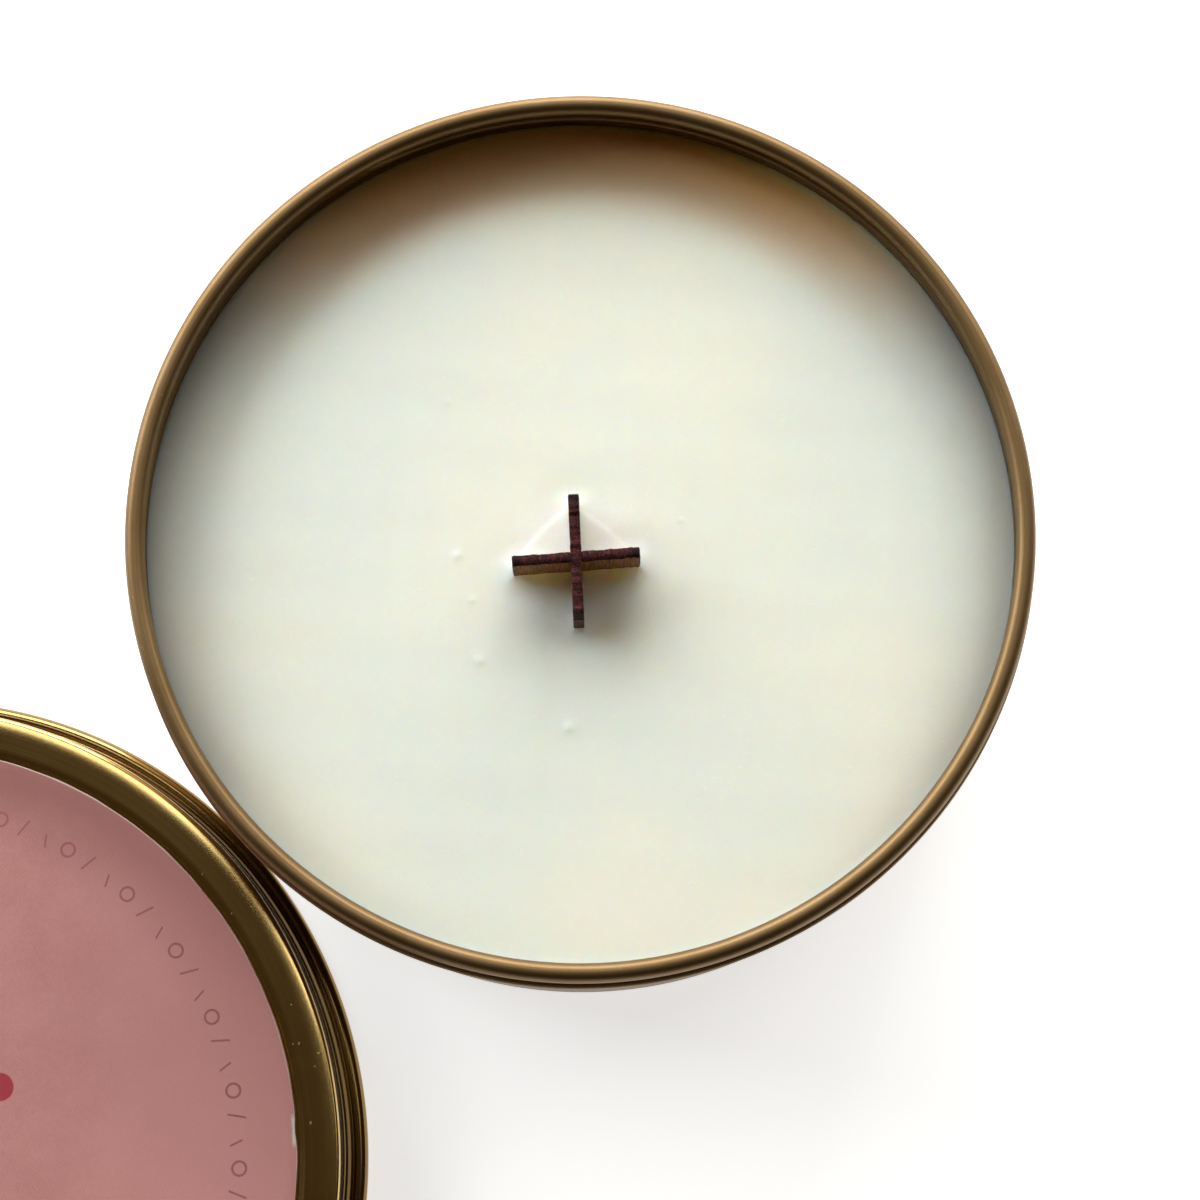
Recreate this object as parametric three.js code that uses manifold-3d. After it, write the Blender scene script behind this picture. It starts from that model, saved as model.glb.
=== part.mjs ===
// A candle tin: a shallow screw-top metal tin of soy wax with a cross-shaped wooden wick,
// and its lid lying flat beside it. Millimetres, +Z up, origin at the centre of the tin's
// flat base. -Y is the side that the lid lies towards, and -X.
import * as THREE from 'three';
import * as BufferGeometryUtils from 'three/addons/utils/BufferGeometryUtils.js';
import Module from 'manifold-3d';

const wasm = await Module();
wasm.setup();

// ---------------------------------------------------------------- driving dimensions
const sheet = 0.35; // thickness of the drawn metal, tin and lid
const seat = 0.05; // gap under a piece that lies flat on another
const clear = 0.3; // gap round a piece that is cast or cut around
const turns = 60; // facets round each turned piece
const discTurns = 72; // facets round the lid's flat discs
const wickTurns = 40; // facets round the discs under the wick
const over = 1; // how far a cutter reaches past what it cuts
const weld = 1e-4; // points closer than this are one point

const tin = {
  height: 28.0,
  bodyRadius: 37.4, // outside of the straight wall
  neckRadius: 37.2, // outside of the neck, between the turns of the thread
  shoulderLow: 20.4, // the wall steps in to the neck between these two heights
  shoulderHigh: 21.6,
  cornerRadius: 2.5, // round between base and wall
  curlRadius: 0.82, // tube of the rolled rim
  bendDrop: 0.1, // the neck bends into the rim over this height
  bendTurn: 8, // and over this many degrees of the tube
};
tin.curlCentre = 38.0 - tin.curlRadius; // the rolled rim is 76 mm across outside

const tinThread = {
  startAngle: 86.7, // degrees round from +X where the lowest end runs out
  startHeight: 23.3,
  turns: 1.1,
  pitch: 1.9,
  halfWidth: 0.8, // from crest to where the flank meets the neck
  depth: 1.25, // pressed outwards
  fade: 14, // degrees over which each end runs out
};

const wax = { top: 23.1, meniscus: 0.35, meniscusWidth: 1.6 };

const wick = {
  x: -0.35,
  y: -2.75, // the wick stands a little forward of the middle
  sideAngle: 4.2, // degrees from +X of the blade that runs side to side
  frontAngle: 92.5, // and of the one that runs front to back
  width: 10.7,
  thickness: 0.9,
  top: 27.3,
};

const sticker = { radius: 9.5, thickness: 0.4 };
const clip = {
  radius: 9.0,
  plate: 0.4,
  earHeight: 5.0,
  earThickness: 0.4,
  earLength: 3.4, // along each blade, from the inner corner
  earOffset: 0.95, // inner face of an ear from the middle of the cross
  angle: 4.6,
};

const lid = {
  x: -61.3,
  y: -52.8, // the lid's centre, lying on the table beside the tin
  height: 9.0,
  skirtRadius: 40.5, // outside of the skirt, between the turns of the thread
  shoulderRadius: 1.05, // round between crest and skirt
  panelRadius: 36.9, // the flat panel inside the crest
  panelDrop: 0.3, // and how far it lies below the crest
  flareTop: 2.5, // the skirt flares out to the hem below this height
  hemRadius: 0.85, // tube of the rolled hem
  hemCentre: 41.4,
  hemFrom: -170, // degrees round the tube where the hem leaves the inside of the flare
  hemTo: 130, // and where it meets the outside
  flareBend: 0.15, // how far the flare's start stands out from the skirt
  flareRise: 0.5, // height over which the skirt bends into the flare
  flareMiddle: -0.2, // the bend's lower end, measured from the flare's top
};
const lidThread = {
  startAngle: 150,
  startHeight: 3.7,
  turns: 1.2,
  pitch: 1.6,
  halfWidth: 0.75,
  depth: -1.72, // pressed inwards, just past the crest of the tin's thread
  fade: 14,
};
const liner = { radius: 37.6, thickness: 1.5 };
const label = { radius: 36.8, thickness: 0.2 };

// ---------------------------------------------------------------- materials
const bronze = new THREE.MeshStandardMaterial({ color: 0x8a6a44, roughness: 0.35, metalness: 1 });
const gold = new THREE.MeshStandardMaterial({ color: 0xb08a4a, roughness: 0.3, metalness: 1 });
const soyWax = new THREE.MeshStandardMaterial({ color: 0xefeedd, roughness: 0.6, metalness: 0 });
const wood = new THREE.MeshStandardMaterial({ color: 0x6b3a22, roughness: 0.8, metalness: 0 });
const zinc = new THREE.MeshStandardMaterial({ color: 0xa9abad, roughness: 0.4, metalness: 1 });
const adhesive = new THREE.MeshStandardMaterial({ color: 0xf2f0ea, roughness: 0.7, metalness: 0 });
const foam = new THREE.MeshStandardMaterial({ color: 0xf4f4f0, roughness: 0.9, metalness: 0 });
const paper = new THREE.MeshStandardMaterial({ color: 0xb17a73, roughness: 0.85, metalness: 0 });

// ---------------------------------------------------------------- small tools
// The points of a circular arc, angles in degrees, both ends included.
function arc(centreR, centreZ, radius, from, to, steps) {
  const points = [];
  for (let i = 0; i <= steps; i++) {
    const a = THREE.MathUtils.degToRad(from + ((to - from) * i) / steps);
    points.push([centreR + radius * Math.cos(a), centreZ + radius * Math.sin(a)]);
  }
  return points;
}

// Evenly spaced points up or down a wall of one radius, for the thread to bend.
function wall(radius, from, to, steps) {
  const points = [];
  for (let i = 0; i <= steps; i++) points.push([radius, from + ((to - from) * i) / steps]);
  return points;
}

// Turns a profile of [radius, height] points about Z, listed so that its faces point out.
function turned(profile, segments = turns) {
  const points = profile.map(([r, z]) => new THREE.Vector2(r, z));
  const geometry = new THREE.LatheGeometry(points, segments);
  geometry.rotateX(Math.PI / 2);
  return merged(geometry);
}

// Only the positions, with the seams welded.
function merged(geometry) {
  const plain = geometry.clone();
  for (const name of ['normal', 'uv']) plain.deleteAttribute(name);
  return BufferGeometryUtils.mergeVertices(plain, weld);
}

// How far a pressed thread moves a wall in or out at a height and an angle round.
function threadOffset(thread, height, angle) {
  let offset = 0;
  for (let turn = 0; turn <= Math.ceil(thread.turns); turn++) {
    const along = (((angle - thread.startAngle) % 360) + 360) % 360 + 360 * turn;
    const left = 360 * thread.turns - along;
    if (left < 0) continue;
    const away = height - thread.startHeight - (thread.pitch * along) / 360;
    if (Math.abs(away) >= thread.halfWidth) continue;
    const end = Math.min(1, along / thread.fade, left / thread.fade);
    offset += thread.depth * end * Math.cos((Math.PI * away) / (2 * thread.halfWidth)) ** 2;
  }
  return offset;
}

// Presses a thread into a turned wall: every point between two heights moves radially.
function pressThread(geometry, thread, low, high, least) {
  const position = geometry.getAttribute('position');
  for (let i = 0; i < position.count; i++) {
    const x = position.getX(i);
    const y = position.getY(i);
    const z = position.getZ(i);
    const radius = Math.hypot(x, y);
    if (z < low || z > high || radius < least) continue;
    const angle = THREE.MathUtils.radToDeg(Math.atan2(y, x));
    const scale = 1 + threadOffset(thread, z, angle) / radius;
    position.setXYZ(i, x * scale, y * scale, z);
  }
  return geometry;
}

function solid(geometry) {
  const plain = merged(geometry);
  const vertProperties = new Float32Array(plain.getAttribute('position').array);
  const triVerts = new Uint32Array(plain.index.array);
  return new wasm.Manifold(new wasm.Mesh({ numProp: 3, vertProperties, triVerts }));
}

function geometryOf(manifold) {
  const mesh = manifold.getMesh();
  const geometry = new THREE.BufferGeometry();
  geometry.setAttribute('position', new THREE.BufferAttribute(mesh.vertProperties, 3));
  geometry.setIndex(new THREE.BufferAttribute(mesh.triVerts, 1));
  return geometry;
}

// A box by its low and high corners, turned about Z and set on the wick's centre line.
function wickBox(low, high, angle) {
  const box = new THREE.BoxGeometry(high[0] - low[0], high[1] - low[1], high[2] - low[2]);
  box.translate((low[0] + high[0]) / 2, (low[1] + high[1]) / 2, (low[2] + high[2]) / 2);
  box.rotateZ(THREE.MathUtils.degToRad(angle));
  box.translate(wick.x, wick.y, 0);
  return solid(box);
}

// A round disc or plug on the wick's centre line.
function wickDisc(radius, low, high) {
  const disc = new THREE.CylinderGeometry(radius, radius, high - low, wickTurns);
  disc.rotateX(Math.PI / 2);
  disc.translate(wick.x, wick.y, (low + high) / 2);
  return solid(disc);
}

// ---------------------------------------------------------------- the tin
// One drawn shell: flat base, straight wall, neck with a pressed thread, rolled rim.
function tinBody() {
  const curlZ = tin.height - tin.curlRadius;
  const neckInner = tin.neckRadius - sheet;
  const bodyInner = tin.bodyRadius - sheet;
  const corner = tin.cornerRadius;
  const join = THREE.MathUtils.radToDeg(
    Math.acos((tin.neckRadius - tin.curlCentre) / tin.curlRadius));
  const neckTop = curlZ - tin.curlRadius * Math.sin(THREE.MathUtils.degToRad(join));
  const profile = [
    [0, 0],
    ...arc(tin.bodyRadius - corner, corner, corner, -90, 0, 4),
    [tin.bodyRadius, tin.shoulderLow],
    ...wall(tin.neckRadius, tin.shoulderHigh, neckTop - tin.bendDrop, 11),
    ...arc(tin.curlCentre, curlZ, tin.curlRadius, -join + tin.bendTurn, 180, 10),
    ...wall(neckInner, neckTop - tin.bendDrop, tin.shoulderHigh, 11),
    [bodyInner, tin.shoulderLow],
    ...arc(tin.bodyRadius - corner, corner, corner - sheet, 0, -90, 3),
    [0, sheet],
  ];
  const shell = turned(profile);
  return pressThread(shell, tinThread, tin.shoulderHigh - weld, neckTop, neckInner - sheet);
}

// Height of the stack on the floor of the tin, from the sticker up to the blades.
const stickerLow = sheet + seat;
const clipLow = stickerLow + sticker.thickness + seat;
const earsLow = clipLow + clip.plate;
const bladeLow = earsLow + clear;
const earsHigh = earsLow + clip.earHeight;

// ---------------------------------------------------------------- the wick
// Two thin wooden blades, each with a slot half its height where the other one crosses.
function wickBlade(angle, slotFrom, slotTo, crossAngle) {
  const half = wick.thickness / 2;
  const blade = wickBox([-wick.width / 2, -half, bladeLow], [wick.width / 2, half, wick.top], angle);
  const slotHalf = half + clear;
  const slot = wickBox([-wick.width, -slotHalf, slotFrom], [wick.width, slotHalf, slotTo], crossAngle);
  return geometryOf(blade.subtract(slot));
}

const slotMiddle = (bladeLow + wick.top) / 2;

function sideBlade() {
  return wickBlade(wick.sideAngle, slotMiddle, wick.top + over, wick.frontAngle);
}

function frontBlade() {
  return wickBlade(wick.frontAngle, bladeLow - over, slotMiddle + clear, wick.sideAngle);
}

// A stamped plate with four angled ears that hold the cross between them.
function wickClip() {
  let body = wickDisc(clip.radius, clipLow, earsLow);
  const near = clip.earOffset;
  const far = clip.earOffset + clip.earThickness;
  const tip = clip.earOffset + clip.earLength;
  for (let quarter = 0; quarter < 4; quarter++) {
    const angle = clip.angle + 90 * quarter;
    const base = earsLow - clip.plate / 2;
    body = body.add(wickBox([near, near, base], [tip, far, earsHigh], angle));
    body = body.add(wickBox([near, near, base], [far, tip, earsHigh], angle));
  }
  return geometryOf(body);
}

function wickSticker() {
  return geometryOf(wickDisc(sticker.radius, stickerLow, stickerLow + sticker.thickness));
}

// ---------------------------------------------------------------- the wax
// Poured round the wick: a plug that fills the tin, less the room that the wick,
// its clip and its sticker take up. The rim of the surface creeps up the wall.
function waxFill() {
  const radius = tin.neckRadius - sheet - clear;
  const bodyRadius = tin.bodyRadius - sheet - clear;
  const corner = tin.cornerRadius - sheet;
  const floor = sheet + seat;
  let body = solid(turned([
    [0, floor],
    ...arc(bodyRadius - corner, floor + corner, corner, -90, 0, 3),
    [bodyRadius, tin.shoulderLow - clear],
    [radius, tin.shoulderHigh - clear],
    [radius, wax.top + wax.meniscus],
    [radius - wax.meniscusWidth, wax.top],
    [0, wax.top],
  ]));
  body = body.subtract(wickDisc(sticker.radius + clear, floor - over, earsLow + clear));
  const slotHalf = wick.thickness / 2 + clear;
  const slotEnd = wick.width / 2 + clear;
  const pocketHalf = clip.earOffset + clip.earThickness + clear;
  const pocketEnd = clip.earOffset + clip.earLength + clear;
  for (const angle of [wick.sideAngle, wick.frontAngle]) {
    body = body.subtract(wickBox([-slotEnd, -slotHalf, floor], [slotEnd, slotHalf, wick.top], angle));
  }
  for (const angle of [clip.angle, clip.angle + 90]) {
    const high = [pocketEnd, pocketHalf, earsHigh + clear];
    body = body.subtract(wickBox([-pocketEnd, -pocketHalf, floor], high, angle));
  }
  return geometryOf(body);
}

// ---------------------------------------------------------------- the lid
// One pressed shell: flat panel, raised crest, rounded shoulder, threaded skirt, rolled hem.
function lidShell() {
  const round = lid.shoulderRadius;
  const inner = lid.skirtRadius - sheet;
  const panel = lid.height - lid.panelDrop;
  const hemZ = lid.hemRadius;
  const bendLow = lid.flareTop + lid.flareMiddle;
  const bendHigh = bendLow + lid.flareRise;
  const profile = [
    ...arc(lid.hemCentre, hemZ, lid.hemRadius, lid.hemFrom, lid.hemTo, 11),
    [lid.skirtRadius + lid.flareBend, bendLow],
    ...wall(lid.skirtRadius, bendHigh, lid.height - round, 10),
    ...arc(lid.skirtRadius - round, lid.height - round, round, 0, 90, 5).slice(1),
    [lid.panelRadius, panel],
    [0, panel],
    [0, panel - sheet],
    [lid.panelRadius, panel - sheet],
    ...arc(lid.skirtRadius - round, lid.height - round, round - sheet, 90, 0, 4),
    ...wall(inner, lid.height - round, bendHigh, 10).slice(1),
    [inner + lid.flareBend, bendLow],
  ];
  profile.push(profile[0]);
  const shell = turned(profile);
  return pressThread(shell, lidThread, lid.flareTop, lid.height - round + weld, inner - sheet);
}

function lidDisc(radius, low, high) {
  return turned([[0, low], [radius, low], [radius, high], [0, high]], discTurns);
}

// ---------------------------------------------------------------- the assembly
function piece(name, geometry, material) {
  const flat = geometry.toNonIndexed();
  flat.computeVertexNormals();
  const mesh = new THREE.Mesh(flat, material);
  mesh.name = name;
  return mesh;
}

const candleTin = new THREE.Group();
candleTin.add(
  piece('tin_body', tinBody(), bronze),
  piece('wax_fill', waxFill(), soyWax),
  piece('wick_blade_side', sideBlade(), wood),
  piece('wick_blade_front', frontBlade(), wood),
  piece('wick_clip', wickClip(), zinc),
  piece('wick_sticker', wickSticker(), adhesive),
);

const lidGroup = new THREE.Group();
lidGroup.position.set(lid.x, lid.y, 0);
const linerHigh = lid.height - lid.panelDrop - sheet - seat;
const labelLow = lid.height - lid.panelDrop + seat;
lidGroup.add(
  piece('lid_shell', lidShell(), gold),
  piece('lid_liner', lidDisc(liner.radius, linerHigh - liner.thickness, linerHigh), foam),
  piece('lid_label', lidDisc(label.radius, labelLow, labelLow + label.thickness), paper),
);
candleTin.add(lidGroup);

export default candleTin;
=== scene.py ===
# %% [markdown]
# # A candle tin with a crossed wooden wick
#
# The object is a shallow screw-top tin of soy wax. Its wick is two thin blades of wood that
# cross each other, and its lid lies flat beside it with a round paper label on top. The CAD
# model already fixes every size, place and joint. This lesson builds the fine surfaces that
# stand for the CAD pieces, gives each one its finish, and lights them like a small product
# on a white table in a room with three low windows.

import math

import bpy
import numpy as np
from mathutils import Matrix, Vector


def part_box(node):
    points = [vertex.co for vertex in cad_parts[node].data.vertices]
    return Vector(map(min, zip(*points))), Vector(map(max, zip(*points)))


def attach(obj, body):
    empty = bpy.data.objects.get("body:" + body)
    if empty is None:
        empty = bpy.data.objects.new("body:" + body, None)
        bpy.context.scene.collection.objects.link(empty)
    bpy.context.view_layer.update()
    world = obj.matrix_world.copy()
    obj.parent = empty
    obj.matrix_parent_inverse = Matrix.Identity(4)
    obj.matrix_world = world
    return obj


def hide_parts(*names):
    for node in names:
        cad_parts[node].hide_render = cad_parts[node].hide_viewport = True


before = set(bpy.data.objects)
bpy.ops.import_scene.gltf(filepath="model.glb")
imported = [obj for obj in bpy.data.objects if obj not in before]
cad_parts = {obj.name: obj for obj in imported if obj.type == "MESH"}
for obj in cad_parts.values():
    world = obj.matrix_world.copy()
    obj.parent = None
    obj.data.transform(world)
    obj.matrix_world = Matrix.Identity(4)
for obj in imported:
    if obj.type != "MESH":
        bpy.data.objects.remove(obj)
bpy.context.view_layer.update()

# %% [markdown]
# ## Places and sizes from the frame
#
# Everything is worked out in millimetres, because the pieces are small, and turned into
# metres when a mesh is made. The tin's axis is the Z axis. The lid's own axis is read from
# the box of its CAD node, and so are the heights of the rim, the wax, the wick and the label.
# The few radii that a box can't tell are the maker's figures for this tin.

# %% Sizes
MM = 0.001


def corners(node):
    """The lowest and highest corners of a CAD node, in millimetres."""
    low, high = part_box(node)
    return np.array(low) / MM, np.array(high) / MM


rim_height = corners("tin_body")[1][2]
thread_crest = corners("tin_body")[1][0]
lid_low, lid_high = corners("lid_shell")
lid_centre = (lid_low + lid_high)[:2] / 2
lid_height = lid_high[2]
hem_radius = (lid_high[0] - lid_low[0]) / 2
SHEET = 0.35  # thickness of the metal
MENISCUS = 0.35  # how far the wax climbs the metal
WALL_FROM = 30  # a point of the tin or the lid past this radius belongs to its wall
wax_level = corners("wax_fill")[1][2] - MENISCUS
wick_low, wick_high = corners("wick_blade_side")
wick_centre = (wick_low + wick_high)[:2] / 2
liner_low, liner_high = corners("lid_liner")
label_low, label_high = corners("lid_label")
print(f"rim at {rim_height:.1f}, wax at {wax_level:.1f}, wick at {wick_centre.round(2)}")
print(f"lid at {lid_centre.round(1)}, {lid_height:.1f} high, hem radius {hem_radius:.1f}")

# %% [markdown]
# ## Turned surfaces
#
# A drawn tin and its lid are surfaces of revolution, and so is a poured plug of wax. Each is
# one profile, a list of radius and height, carried round an axis. The profile runs from the
# middle of the underside, outwards and over the top, back to the middle, so that one rule
# points every face outwards. A stretch of the profile is an arc, a straight line or an ease
# from one radius to another, and each is sampled closely enough for a smooth highlight.

# %% Profile tools
def arc(centre, radius, start, stop, count):
    """Points on a circle: the centre plus the radius times the cosine and sine of an angle
    that goes evenly from start to stop, in degrees."""
    angle = np.radians(np.linspace(start, stop, count))
    return np.stack([centre[0] + radius * np.cos(angle), centre[1] + radius * np.sin(angle)], 1)


def straight(start, stop, count):
    """Points evenly along a line: start plus a share, from 0 to 1, of the way to stop."""
    share = np.linspace(0, 1, count)[:, None]
    return np.array(start) + share * (np.array(stop) - np.array(start))


def ease(start, stop, count):
    """As a line, but the radius follows 3 s^2 - 2 s^3, so both ends leave along the wall."""
    share = np.linspace(0, 1, count)
    soft = share * share * (3 - 2 * share)
    return np.stack([
        start[0] + soft * (stop[0] - start[0]),
        start[1] + share * (stop[1] - start[1]),
    ], 1)


def sink(start, stop, count):
    """As a line, but the height follows 3 s^2 - 2 s^3, so both ends leave along a flat."""
    share = np.linspace(0, 1, count)
    soft = share * share * (3 - 2 * share)
    return np.stack([
        start[0] + share * (stop[0] - start[0]),
        start[1] + soft * (stop[1] - start[1]),
    ], 1)


def profile(*stretches):
    """The stretches one after another, with points that fall on the one before left out."""
    points = np.concatenate(stretches)
    step = np.linalg.norm(np.diff(points, axis=0), axis=1)
    return points[np.concatenate([[True], step > 1e-4])]


# %% From rings to a mesh
def make_mesh(name, points, quads, triangles=None):
    """A mesh object from arrays: points in millimetres, four or three indices a face."""
    triangles = np.zeros((0, 3), int) if triangles is None else triangles
    corner_index = np.concatenate([quads.ravel(), triangles.ravel()]).astype(np.int32)
    sides = np.concatenate([np.full(len(quads), 4), np.full(len(triangles), 3)])
    starts = np.concatenate([[0], np.cumsum(sides)[:-1]]).astype(np.int32)
    mesh = bpy.data.meshes.new(name)
    mesh.vertices.add(len(points))
    mesh.vertices.foreach_set("co", (points * MM).astype(np.float32).ravel())
    mesh.loops.add(len(corner_index))
    mesh.loops.foreach_set("vertex_index", corner_index)
    mesh.polygons.add(len(sides))
    mesh.polygons.foreach_set("loop_start", starts)
    mesh.update(calc_edges=True)
    mesh.polygons.foreach_set("use_smooth", np.ones(len(sides), bool))
    mesh.validate()
    piece = bpy.data.objects.new(name, mesh)
    bpy.context.scene.collection.objects.link(piece)
    print(f"{name}: {len(quads) * 2 + len(triangles)} triangles")
    return piece


def rings_to_faces(count, around):
    """Quads between ring i and ring i + 1, at place j and j + 1 round, as (i, j), (i, j+1),
    (i+1, j+1), (i+1, j), where j + 1 wraps round to 0."""
    i, j = np.meshgrid(np.arange(count - 1), np.arange(around), indexing="ij")
    after = (j + 1) % around
    return np.stack([
        i * around + j, i * around + after, (i + 1) * around + after, (i + 1) * around + j,
    ], -1).reshape(-1, 4)


def turned(name, outline, around, centre=(0, 0), shape=None):
    """Carries an outline that starts and ends on the axis round it. A point's place is
    (r cos t, r sin t, z); shape may move the whole arrays of r, t and z first. Each end is
    closed with a fan of triangles round one point on the axis."""
    turn = np.linspace(0, 2 * np.pi, around, endpoint=False)
    inner = outline[1:-1]
    radius = np.repeat(inner[:, :1], around, 1)
    height = np.repeat(inner[:, 1:], around, 1)
    angle = np.repeat(turn[None], len(inner), 0)
    if shape:
        radius, height = shape(radius, angle, height)
    grid = np.stack([
        centre[0] + radius * np.cos(angle), centre[1] + radius * np.sin(angle), height,
    ], -1).reshape(-1, 3)
    ends = np.array([
        [*centre, height[0].mean()], [*centre, height[-1].mean()],
    ])
    first, last = len(grid), len(grid) + 1
    j = np.arange(around)
    after = (j + 1) % around
    top = (len(inner) - 1) * around
    fans = np.concatenate([
        np.stack([np.full(around, first), after, j], 1),
        np.stack([np.full(around, last), top + j, top + after], 1),
    ])
    return make_mesh(name, np.concatenate([grid, ends]), rings_to_faces(len(inner), around), fans)


# %% [markdown]
# ## The pressed thread
#
# The neck of the tin and the skirt of the lid are rolled between two wheels that press a
# screw thread into the sheet, so the inside and the outside of the wall move together. As a
# formula it is a small cosine hill across the wall whose middle climbs by one pitch each
# turn, and which fades to nothing over a few degrees where the thread runs out. Moving the
# radius of a turned surface by it is simpler and cleaner than sweeping a separate ridge.

# %% Thread
def pressed_thread(angle, height, thread):
    """The outward move of a wall: depth x fade x cos^2(90 deg x distance / half width), where
    distance is the height above the thread's middle line at this angle, summed over turns."""
    degrees = np.degrees(angle)
    move = np.zeros_like(height)
    for turn in range(int(math.ceil(thread["turns"])) + 1):
        along = (degrees - thread["start"]) % 360 + 360 * turn
        left = 360 * thread["turns"] - along
        away = (height - thread["height"] - thread["pitch"] * along / 360) / thread["half"]
        fade = np.clip(np.minimum(along, left) / thread["fade"], 0, 1)
        fade = fade * fade * (3 - 2 * fade)
        hill = np.cos(np.pi / 2 * np.clip(away, -1, 1)) ** 2
        move += thread["depth"] * fade * hill * (left > 0)
    return move


NECK = 37.2
TIN_THREAD = {
    "start": 86.7, "height": 23.6, "turns": 1.1, "pitch": 1.9,
    "half": 0.8, "depth": thread_crest - NECK, "fade": 14,
}
LID_THREAD = {
    "start": 150, "height": 3.7, "turns": 1.2, "pitch": 1.6,
    "half": 0.75, "depth": -1.72, "fade": 14,
}

# %% [markdown]
# ## The tin
#
# The tin is one sheet of lacquered metal: a flat base with a shallow stacking groove, a
# rounded corner, a straight wall, a slightly smaller neck with the thread, and a rim rolled
# outwards into a bead. The profile runs along both faces of the sheet, so the inside of the
# neck and the underside are real surfaces and the sheet has its thickness everywhere.

# %% Tin shell
BODY, BASE_CORNER, CURL, CURL_CENTRE = 37.4, 2.5, 0.82, 37.18
THROAT_REACH = 0.6  # the throat eases into the neck this far below the curl
THREAD_CLEAR = 1.9  # the thread keeps this far below the rim
SHOULDER_LOW, SHOULDER_HIGH = 20.4, 21.6
GROOVE, GROOVE_WIDE, GROOVE_DEEP = 31.2, 1.6, 0.3
AROUND = 384


def stacking_groove(points):
    """Raises a flat stretch by depth x cos^2 of its distance from the groove's radius."""
    away = np.clip((points[:, 0] - GROOVE) / GROOVE_WIDE, -1, 1)
    points[:, 1] += GROOVE_DEEP * np.cos(np.pi / 2 * away) ** 2
    return points


def tin_outline():
    """The tin's profile from the middle of the base, up outside and down inside."""
    curl_z = rim_height - CURL
    hip = -math.degrees(math.acos((NECK - CURL_CENTRE) / CURL))
    under_curl = curl_z + CURL * math.sin(math.radians(hip))
    inside = NECK - SHEET
    throat, throat_foot = CURL_CENTRE - CURL, under_curl - THROAT_REACH
    corner_at = (BODY - BASE_CORNER, BASE_CORNER)
    floor_end = BODY - BASE_CORNER
    return profile(
        stacking_groove(straight((0, 0), (floor_end, 0), 34)),
        arc(corner_at, BASE_CORNER, -90, 0, 14),
        straight((BODY, BASE_CORNER), (BODY, SHOULDER_LOW), 12),
        ease((BODY, SHOULDER_LOW), (NECK, SHOULDER_HIGH), 8),
        straight((NECK, SHOULDER_HIGH), (NECK, under_curl), 46),
        arc((CURL_CENTRE, curl_z), CURL, hip, 180, 30),
        ease((throat, curl_z), (inside, throat_foot), 12),
        straight((inside, throat_foot), (inside, SHOULDER_HIGH), 42),
        ease((inside, SHOULDER_HIGH), (BODY - SHEET, SHOULDER_LOW), 8),
        straight((BODY - SHEET, SHOULDER_LOW), (BODY - SHEET, BASE_CORNER), 12),
        arc(corner_at, BASE_CORNER - SHEET, 0, -90, 12),
        stacking_groove(straight((floor_end, SHEET), (0, SHEET), 34)),
    )


def tin_shape(radius, angle, height):
    """Adds the thread between the shoulder and the curl, and a wave of a few hundredths."""
    neck_top = rim_height - THREAD_CLEAR
    in_neck = (height > SHOULDER_HIGH) & (height < neck_top) & (radius > WALL_FROM)
    radius = radius + np.where(in_neck, pressed_thread(angle, height, TIN_THREAD), 0)
    wave = 0.02 * np.sin(2 * angle + 0.6) + 0.012 * np.sin(5 * angle + 2.0)
    lift = np.clip(height / rim_height, 0, 1) ** 2
    return radius + wave * lift * (radius > WALL_FROM), height + 0.02 * np.sin(3 * angle) * lift


tin_shell = turned("tin_shell", tin_outline(), AROUND, shape=tin_shape)

# %% [markdown]
# ## The wax
#
# Soy wax is poured warm and shrinks as it sets. It creeps a little up the metal and up the
# wood, sinks between them, and leaves small pimples where air came up. The surface is a
# turned plug whose top gets its height from one formula of x and y: the level, a rise at the
# wall, a collar that follows the distance to the cross of the wick, a thin web that spans
# from blade to blade, a broad ripple, and a few pimples at listed places.

# %% Wax plug
SIDE_TURN, FRONT_TURN = 4.2, 92.5
BLADE_LONG, BLADE_THICK = 10.7, 0.9
WEB_REACH = 5.4
PIMPLES = [
    (31.3, 9.8, 0.4), (-1.0, -16.5, 0.42), (-8.5, -10.8, 0.36), (-10.4, -1.7, 0.36),
    (-11.5, 11.8, 0.3), (-21.9, 6.5, 0.28), (8.6, 1.3, 0.22), (12.5, 17.5, 0.2),
    (18.0, -14.0, 0.2), (-9.2, -5.6, 0.3),
]


def along_blade(x, y, turn):
    """Turns x and y into distances along and across a blade: the usual rotation by the
    blade's angle about the middle of the wick."""
    c, s = math.cos(math.radians(turn)), math.sin(math.radians(turn))
    dx, dy = x - wick_centre[0], y - wick_centre[1]
    return c * dx + s * dy, -s * dx + c * dy


def distance_to_wick(x, y):
    """The smaller of the distances to two line segments, one for each blade."""
    distances = []
    for turn in (SIDE_TURN, FRONT_TURN):
        along, across = along_blade(x, y, turn)
        past = np.maximum(np.abs(along) - BLADE_LONG / 2, 0)
        aside = np.maximum(np.abs(across) - BLADE_THICK / 2, 0)
        distances.append(np.hypot(past, aside))
    return np.minimum(*distances)


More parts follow.
